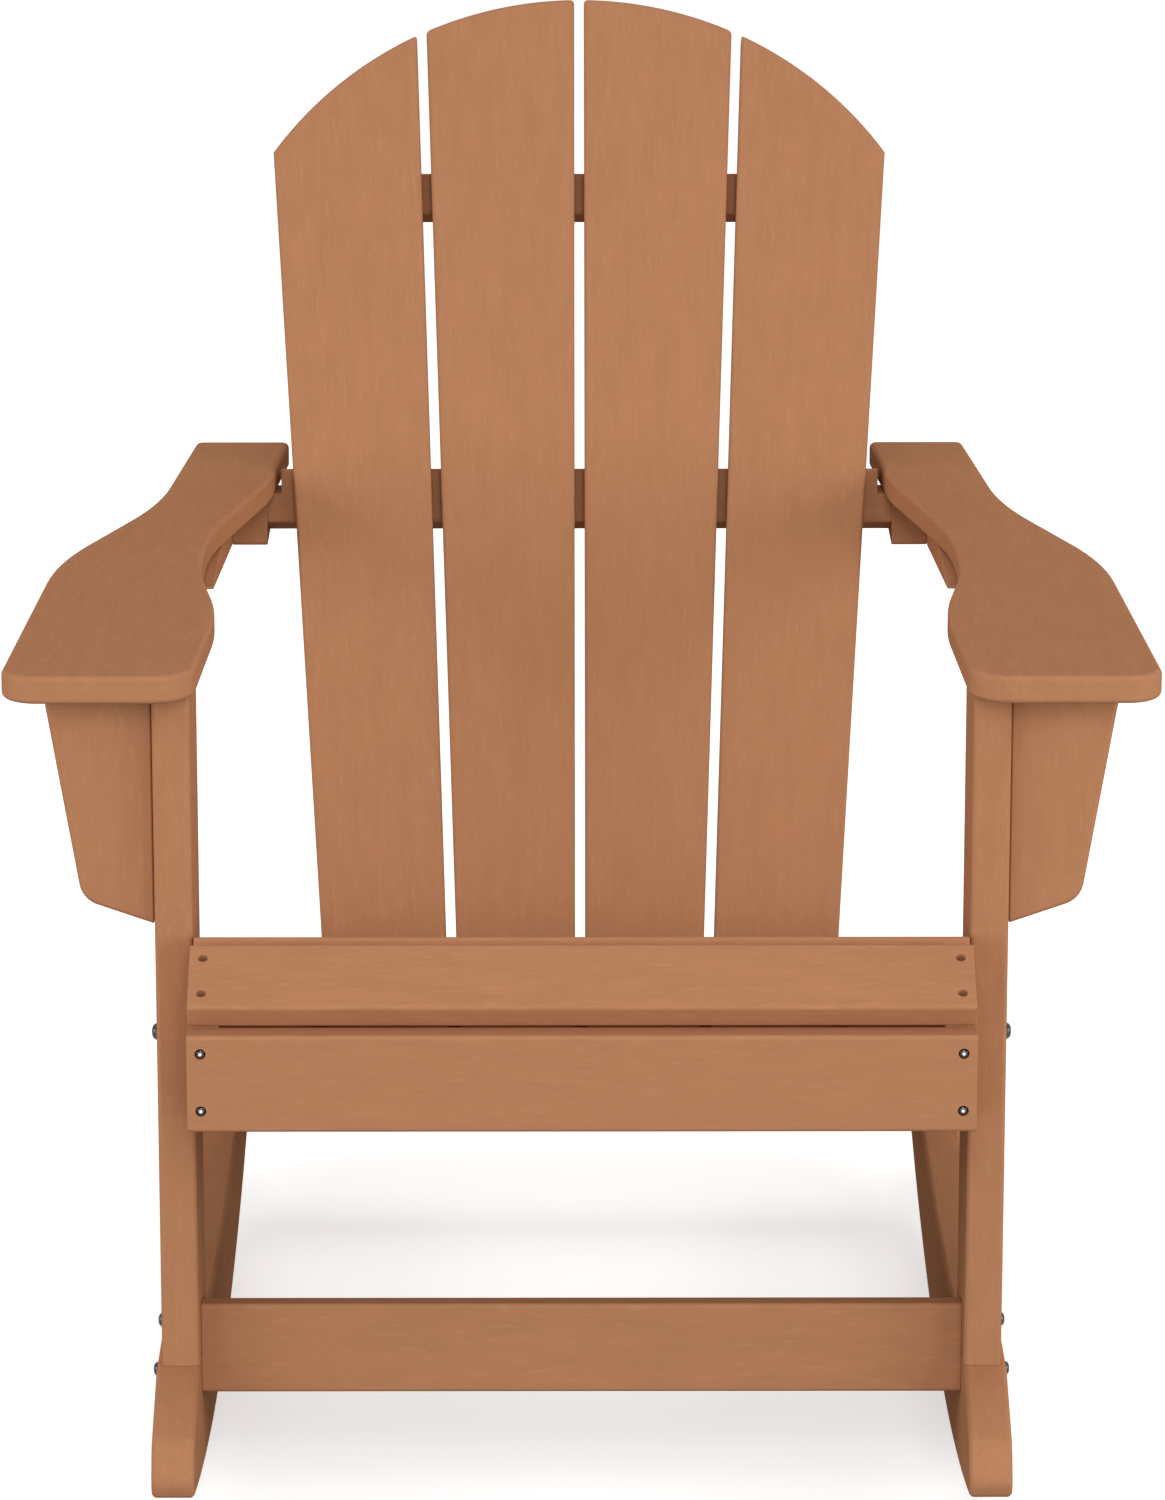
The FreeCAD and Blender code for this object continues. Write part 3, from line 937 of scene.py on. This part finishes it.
def head_tree(material):
    """Domed heads on points, each turned to its point's axis."""
    tree, sizes, output = new_tree("Domed Heads", ("Radius", "Height"), ("Sides",))
    disc = add(tree, "GeometryNodeMeshCircle", fill_type="NGON")
    wire(
        tree,
        (sizes["Sides"], disc.inputs["Vertices"]),
        (sizes["Radius"], disc.inputs["Radius"]),
    )
    mesh = disc.outputs["Mesh"]
    top = None
    # each step lifts the top face of the last one and draws it in
    for rise, shrink in DOME_STEPS:
        push = add(tree, "GeometryNodeExtrudeMesh", mode="FACES")
        scale = add(tree, "GeometryNodeScaleElements")
        scale.inputs["Scale"].default_value = shrink
        wire(
            tree,
            (vector(tree, z=maths(tree, "MULTIPLY", sizes["Height"], rise)), push.inputs["Offset"]),
            (mesh, push.inputs["Mesh"]),
            (push.outputs["Mesh"], scale.inputs["Geometry"]),
            (push.outputs["Top"], scale.inputs["Selection"]),
        )
        if top is not None:
            wire(tree, (top, push.inputs["Selection"]))
        mesh = scale.outputs["Geometry"]
        top = push.outputs["Top"]
    under = add(tree, "GeometryNodeFlipFaces")
    closed = welded(tree, HEAD_WELD, under.outputs["Mesh"], mesh)
    spot = add(tree, "ShaderNodeSeparateXYZ")
    position = add(tree, "GeometryNodeInputPosition")
    # the crown share, a point's height over the head's, is where the steel places its painted glint
    # and its painted rim reflection
    crown = add(tree, "GeometryNodeStoreNamedAttribute", data_type="FLOAT", domain="POINT")
    crown.inputs["Name"].default_value = "crown"
    axis = add(tree, "GeometryNodeInputNamedAttribute", data_type="FLOAT_VECTOR")
    axis.inputs["Name"].default_value = "axis"
    aim = add(tree, "FunctionNodeAlignRotationToVector", axis="Z")
    place = add(tree, "GeometryNodeInstanceOnPoints")
    wire(
        tree,
        (disc.outputs["Mesh"], under.inputs["Mesh"]),
        (closed, crown.inputs["Geometry"]),
        (position.outputs["Position"], spot.inputs["Vector"]),
        (maths(tree, "DIVIDE", spot.outputs["Z"], sizes["Height"]), crown.inputs["Value"]),
        (crown.outputs["Geometry"], place.inputs["Instance"]),
        (sizes["Geometry"], place.inputs["Points"]),
        (axis.outputs["Attribute"], aim.inputs["Vector"]),
        (aim.outputs["Rotation"], place.inputs["Rotation"]),
    )
    finish_tree(tree, place.outputs["Instances"], material, output)
    return tree


def solids_of(shape):
    """Separate shells of a mesh under construction, as lists of vertices."""
    left = set(shape.verts)
    shells = []
    while left:
        stack = [left.pop()]
        shell = []
        while stack:
            vertex = stack.pop()
            shell.append(vertex)
            for edge in vertex.link_edges:
                other = edge.other_vert(vertex)
                if other in left:
                    left.remove(other)
                    stack.append(other)
        shells.append(shell)
    return shells


def middles_of(node):
    """Middle of each separate solid of a node, in a steady order."""
    shape = merged_copy(node)
    middles = []
    for shell in solids_of(shape):
        low = Vector([min(v.co[i] for v in shell) for i in range(3)])
        high = Vector([max(v.co[i] for v in shell) for i in range(3)])
        middles.append((low + high) / 2)
    shape.free()
    return sorted(middles, key=lambda middle: tuple(round(part, 5) for part in middle))


class CHAIR_OT_rockers(bpy.types.Operator):
    """Dress the two curved rockers"""

    bl_idname = "chair.rockers"
    bl_label = "Rockers"

    def execute(self, context):
        sawn_boards(both_sides("rocker"), DEEP, context.scene.chair_lumber.rounding, context)
        return {"FINISHED"}


class CHAIR_OT_legs(bpy.types.Operator):
    """Dress the front legs and the brackets that carry the arms"""

    bl_idname = "chair.legs"
    bl_label = "Legs and Brackets"

    def execute(self, context):
        lumber = context.scene.chair_lumber
        sawn_boards(both_sides("front_leg"), UPRIGHT, lumber.easing, context)
        for node in both_sides("arm_bracket"):
            shape = merged_copy(node)
            inner_face = min(abs(corner.co.x) for corner in shape.verts)
            for corner in shape.verts:
                if abs(corner.co.x) < inner_face + INNER_FACE_REACH:
                    corner.co.x += math.copysign(lumber.bracket_gap, corner.co.x)
            soften(shape, lumber.rounding, SAWN_STEPS, SAWN_TURN)
            board_from(shape, node, UPRIGHT, context)
        return {"FINISHED"}


class CHAIR_OT_arms(bpy.types.Operator):
    """Dress the arms, and the cleats and blocks under their rear ends"""

    bl_idname = "chair.arms"
    bl_label = "Arms"

    def execute(self, context):
        lumber = context.scene.chair_lumber
        sawn_boards(both_sides("arm"), DEEP, lumber.rounding, context)
        sawn_boards(both_sides("arm_cleat", "arm_block"), DEEP, lumber.easing, context)
        return {"FINISHED"}


class CHAIR_OT_rails(bpy.types.Operator):
    """Dress the seat's side rails, the apron, the stretchers and the rails of the back"""

    bl_idname = "chair.rails"
    bl_label = "Rails and Stretchers"

    def execute(self, context):
        easing = context.scene.chair_lumber.easing
        fall = Vector((0, math.cos(SIDE_RAIL_FALL), -math.sin(SIDE_RAIL_FALL)))
        sawn_boards(both_sides("seat_side_rail"), fall, easing, context)
        crossing = ["front_apron", "front_stretcher", "rear_stretcher"]
        crossing += ["upper_back_rail", "lower_back_rail", "bottom_back_rail"]
        sawn_boards(crossing, ACROSS, easing, context)
        return {"FINISHED"}


class CHAIR_OT_seat_slats(bpy.types.Operator):
    """Lay the sloping front slat and the row of seat slats"""

    bl_idname = "chair.seat_slats"
    bl_label = "Seat Slats"

    def execute(self, context):
        seat = context.scene.chair_seat
        lumber = context.scene.chair_lumber
        tree = seat_slat_tree(material_named(LUMBER_NAME, board_lumber, lumber))
        row_place = Vector((0, LEG_FRONT_Y + seat.row_depth, seat.row_height))
        front_rear = Vector((0, LEG_FRONT_Y + seat.front_depth, seat.front_height))
        uphill = Vector((0, math.cos(seat.front_slope), math.sin(seat.front_slope)))
        front_place = front_rear - uphill * seat.front_width
        # number of the row's first slat, count, length and width of its slats, slope and place
        rows = (
            (1, 1, seat.front_length, seat.front_width, seat.front_slope, front_place),
            (2, seat.slat_count, seat.slat_length, seat.slat_width, -seat.slope, row_place),
        )
        for first, count, length, width, slope, place in rows:
            values = {
                "Length": length,
                "Width": width,
                "Thickness": seat.thickness,
                "Rounding": seat.rounding,
                "Pitch": seat.slat_width + seat.slat_gap,
                "Hole Radius": seat.hole_diameter / 2,
                "Hole Depth": seat.hole_depth,
                "Screw Across": seat.screw_across,
                "Screw Margin": seat.screw_margin,
                "Count": count,
            }
            row = evaluated_shape(tree, values, context)
            shells = sorted(solids_of(row), key=lambda shell: min(v.co.y for v in shell))
            if len(shells) != count:
                raise RuntimeError("the row has %d slats instead of %d" % (len(shells), count))
            placing = Matrix.Translation(place) @ Matrix.Rotation(slope, 4, "X")
            for number, shell in enumerate(shells, first):
                slat = row.copy()
                wanted = {v.index for v in shell}
                rest = [v for v in slat.verts if v.index not in wanted]
                bmesh.ops.delete(slat, geom=rest, context="VERTS")
                bmesh.ops.remove_doubles(slat, verts=slat.verts, dist=SLAT_WELD)
                node = "seat_slat_%d" % number
                slat_board(slat, node, ACROSS, lumber.easing, SEAT_SLAT_STEPS, placing, context)
            row.free()
        return {"FINISHED"}


class CHAIR_OT_back_slats(bpy.types.Operator):
    """Fan the four back slats under their arch"""

    bl_idname = "chair.back_slats"
    bl_label = "Back Slats"

    def execute(self, context):
        back = context.scene.chair_back
        lumber = context.scene.chair_lumber
        tree = back_slat_tree(material_named(LUMBER_NAME, board_lumber, lumber))
        half_gap = back.gap / 2
        # place at the seat and flare of the two edges of each left slat
        inner = ((half_gap, 0.0), (back.seam - half_gap, back.seam_flare))
        outer = ((back.seam + half_gap, back.seam_flare), (back.edge, back.edge_flare))
        root = Vector((0, LEG_FRONT_Y + back.root_depth, back.root_height))
        placing = Matrix.Translation(root) @ Matrix.Rotation(-back.recline, 4, "X")
        for name, near, far in (("inner", *inner), ("outer", *outer)):
            mirrored = (tuple(-v for v in far), tuple(-v for v in near))
            for side, low, high in (("left", near, far), ("right", *mirrored)):
                values = {
                    "Right Edge": low[0],
                    "Right Flare": low[1],
                    "Left Edge": high[0],
                    "Left Flare": high[1],
                    "Foot": back.foot,
                    "Arch Centre": back.arch_centre,
                    "Arch Radius": back.arch_radius,
                    "Thickness": back.thickness,
                }
                slat = evaluated_shape(tree, values, context)
                middle_flare = (low[1] + high[1]) / 2
                along = Vector((middle_flare, math.sin(back.recline), math.cos(back.recline)))
                node = "back_slat_%s_%s" % (name, side)
                slat_board(slat, node, along, back.rounding, BACK_SLAT_STEPS, placing, context)
        return {"FINISHED"}


class CHAIR_OT_screws(bpy.types.Operator):
    """Set domed heads on every screw and bolt"""

    bl_idname = "chair.screws"
    bl_label = "Screws and Bolts"

    def execute(self, context):
        screws = context.scene.chair_screws
        seat = context.scene.chair_seat
        back = context.scene.chair_back
        tree = head_tree(material_named(STEEL_NAME, polished_steel, screws))
        seat_up = Vector((0, math.sin(seat.slope), math.cos(seat.slope)))
        front_up = Vector((0, -math.sin(seat.front_slope), math.cos(seat.front_slope)))
        back_rear = Vector((0, math.cos(back.recline), -math.sin(back.recline)))

        def outward(place):
            return ACROSS if place.x > 0 else -ACROSS

        def off_the_slat(place):
            return front_up if place.y < LEG_FRONT_Y - FRONT_SLAT_SCREWS else seat_up

        groups = (
            ("leg_bolts", BOLT_HEAD, outward),
            ("stretcher_screws", WIDE_SCREW_HEAD, outward),
            ("rear_bolts", BOLT_HEAD, outward),
            ("side_rail_screws", WIDE_SCREW_HEAD, outward),
            ("cleat_screws", WIDE_SCREW_HEAD, outward),
            ("apron_screws", APRON_SCREW_HEAD, lambda place: -DEEP),
            ("back_slat_screws", SLAT_SCREW_HEAD, lambda place: back_rear),
            ("seat_slat_screws", SLAT_SCREW_HEAD, off_the_slat),
        )
        for node, (radius, height), axis_of in groups:
            points, axes = [], []
            for middle in middles_of(node):
                axis = axis_of(middle)
                points.append(middle - axis * height / 2)
                axes.extend(axis)
            carrier = bpy.data.meshes.new(node + "_points")
            carrier.from_pydata(points, [], [])
            carried = carrier.attributes.new("axis", "FLOAT_VECTOR", "POINT")
            carried.data.foreach_set("vector", axes)
            values = {"Radius": radius, "Height": height, "Sides": screws.sides}
            mesh = evaluated_mesh(tree, values, carrier, context)
            mesh.name = node + "_heads"
            mesh.shade_smooth()
            mesh.set_sharp_from_angle(angle=HEAD_TURN)
            heads = new_object(node + "_heads", mesh, context)
            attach(heads, "root")
            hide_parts(node)
        return {"FINISHED"}


def show_when_seen(tree, unseen, seen, surface):
    """Lights with one shader, and shows the other straight, in reflections and through glass."""
    path = add(tree, "ShaderNodeLightPath").outputs
    straight = maths(tree, "MAXIMUM", path["Is Camera Ray"], path["Is Glossy Ray"])
    mix = add(tree, "ShaderNodeMixShader")
    share, first, second = mix.inputs
    wire(
        tree,
        (maths(tree, "MAXIMUM", straight, path["Is Transmission Ray"]), share),
        (unseen, first),
        (seen, second),
        (mix.outputs["Shader"], surface),
    )


def floor_paint(studio):
    """Paint that is pale where it is seen and sends back little light."""
    material = bpy.data.materials.new("Pale Studio Floor")
    tree, surface = bare_nodes(material, "ShaderNodeOutputMaterial")
    dim = add(tree, "ShaderNodeBsdfDiffuse")
    dim.inputs["Color"].default_value = (*[studio.floor_bounce] * 3, 1)
    pale = add(tree, "ShaderNodeBsdfDiffuse")
    pale.inputs["Color"].default_value = (*[studio.floor_tone] * 3, 1)
    lift = add(tree, "ShaderNodeEmission")
    lift.inputs["Strength"].default_value = studio.floor_lift
    both = add(tree, "ShaderNodeAddShader")
    wire(
        tree,
        (pale.outputs["BSDF"], both.inputs[0]),
        (lift.outputs["Emission"], both.inputs[1]),
    )
    show_when_seen(tree, dim.outputs["BSDF"], both.outputs["Shader"], surface)
    return material


def white_room(studio):
    """World that is white where it is seen and lights the chair evenly."""
    world = bpy.data.worlds.new("Studio Room")
    tree, surface = bare_nodes(world, "ShaderNodeOutputWorld")
    lights = []
    for strength in (studio.room_light, 1.0):
        light = add(tree, "ShaderNodeBackground")
        light.inputs["Color"].default_value = (1, 1, 1, 1)
        light.inputs["Strength"].default_value = strength
        lights.append(light.outputs["Background"])
    show_when_seen(tree, *lights, surface)
    return world


class CHAIR_OT_stage(bpy.types.Operator):
    """Set up the pale floor, the soft lamps and the camera"""

    bl_idname = "chair.stage"
    bl_label = "Studio"

    def execute(self, context):
        scene = context.scene
        studio = scene.chair_studio
        scene.view_settings.view_transform = "Standard"

        mesh = bpy.data.meshes.new("studio_floor")
        corners = [(-1, -1), (1, -1), (1, 1), (-1, 1)]
        points = [(x * FLOOR_REACH, y * FLOOR_REACH, 0) for x, y in corners]
        mesh.from_pydata(points, [], [(0, 1, 2, 3)])
        mesh.materials.append(floor_paint(studio))
        floor = new_object("studio_floor", mesh, context)
        scene.world = white_room(studio)

        for name, place, (width, height), power in LAMPS:
            light = bpy.data.lights.new(name, "AREA")
            light.shape = "RECTANGLE"
            light.size = width
            light.size_y = height
            light.energy = getattr(studio, power)
            lamp = new_object(name, light, context)
            lamp.location = place
            lamp.rotation_euler = (LAMP_AIM - Vector(place)).to_track_quat("-Z", "Y").to_euler()

        optics = bpy.data.cameras.new("photo_camera")
        optics.lens = studio.camera_lens
        optics.sensor_width = SENSOR_WIDTH
        optics.sensor_fit = "AUTO"
        camera = new_object("photo_camera", optics, context)
        camera_y = LEG_FRONT_Y - studio.camera_distance
        camera.location = (studio.camera_side, camera_y, studio.camera_height)
        camera.rotation_euler = (math.pi / 2 - studio.camera_pitch, 0, -studio.camera_turn)
        scene.camera = camera
        return {"FINISHED"}


class CHAIR_PT_panel(bpy.types.Panel):
    """Lists the chair's settings and the steps that build it"""

    bl_idname = "CHAIR_PT_panel"
    bl_label = "Rocking Chair"
    bl_space_type = "VIEW_3D"
    bl_region_type = "UI"
    bl_category = "Rocking Chair"

    def draw(self, context):
        for name, label, _ in SETTINGS:
            box = self.layout.box()
            box.label(text=label)
            group = getattr(context.scene, name)
            for setting in group.__annotations__:
                box.prop(group, setting)
        for operator in OPERATORS:
            self.layout.operator(operator.bl_idname)


SETTINGS = (
    ("chair_lumber", "Lumber", ChairLumber),
    ("chair_seat", "Seat", ChairSeat),
    ("chair_back", "Back", ChairBack),
    ("chair_screws", "Screws", ChairScrews),
    ("chair_studio", "Studio", ChairStudio),
)
OPERATORS = (
    CHAIR_OT_rockers,
    CHAIR_OT_legs,
    CHAIR_OT_arms,
    CHAIR_OT_rails,
    CHAIR_OT_seat_slats,
    CHAIR_OT_back_slats,
    CHAIR_OT_screws,
    CHAIR_OT_stage,
)
CLASSES = (*(group for _, _, group in SETTINGS), *OPERATORS, CHAIR_PT_panel)


def register():
    for cls in CLASSES:
        bpy.utils.register_class(cls)
    for name, label, group in SETTINGS:
        setattr(bpy.types.Scene, name, PointerProperty(type=group, name=label))


def unregister():
    for name, _, _ in SETTINGS:
        delattr(bpy.types.Scene, name)
    for cls in reversed(CLASSES):
        bpy.utils.unregister_class(cls)


def main():
    register()
    bpy.ops.chair.rockers()
    bpy.ops.chair.legs()
    bpy.ops.chair.arms()
    bpy.ops.chair.rails()
    bpy.ops.chair.seat_slats()
    bpy.ops.chair.back_slats()
    bpy.ops.chair.screws()
    bpy.ops.chair.stage()


if __name__ == "__main__":
    main()
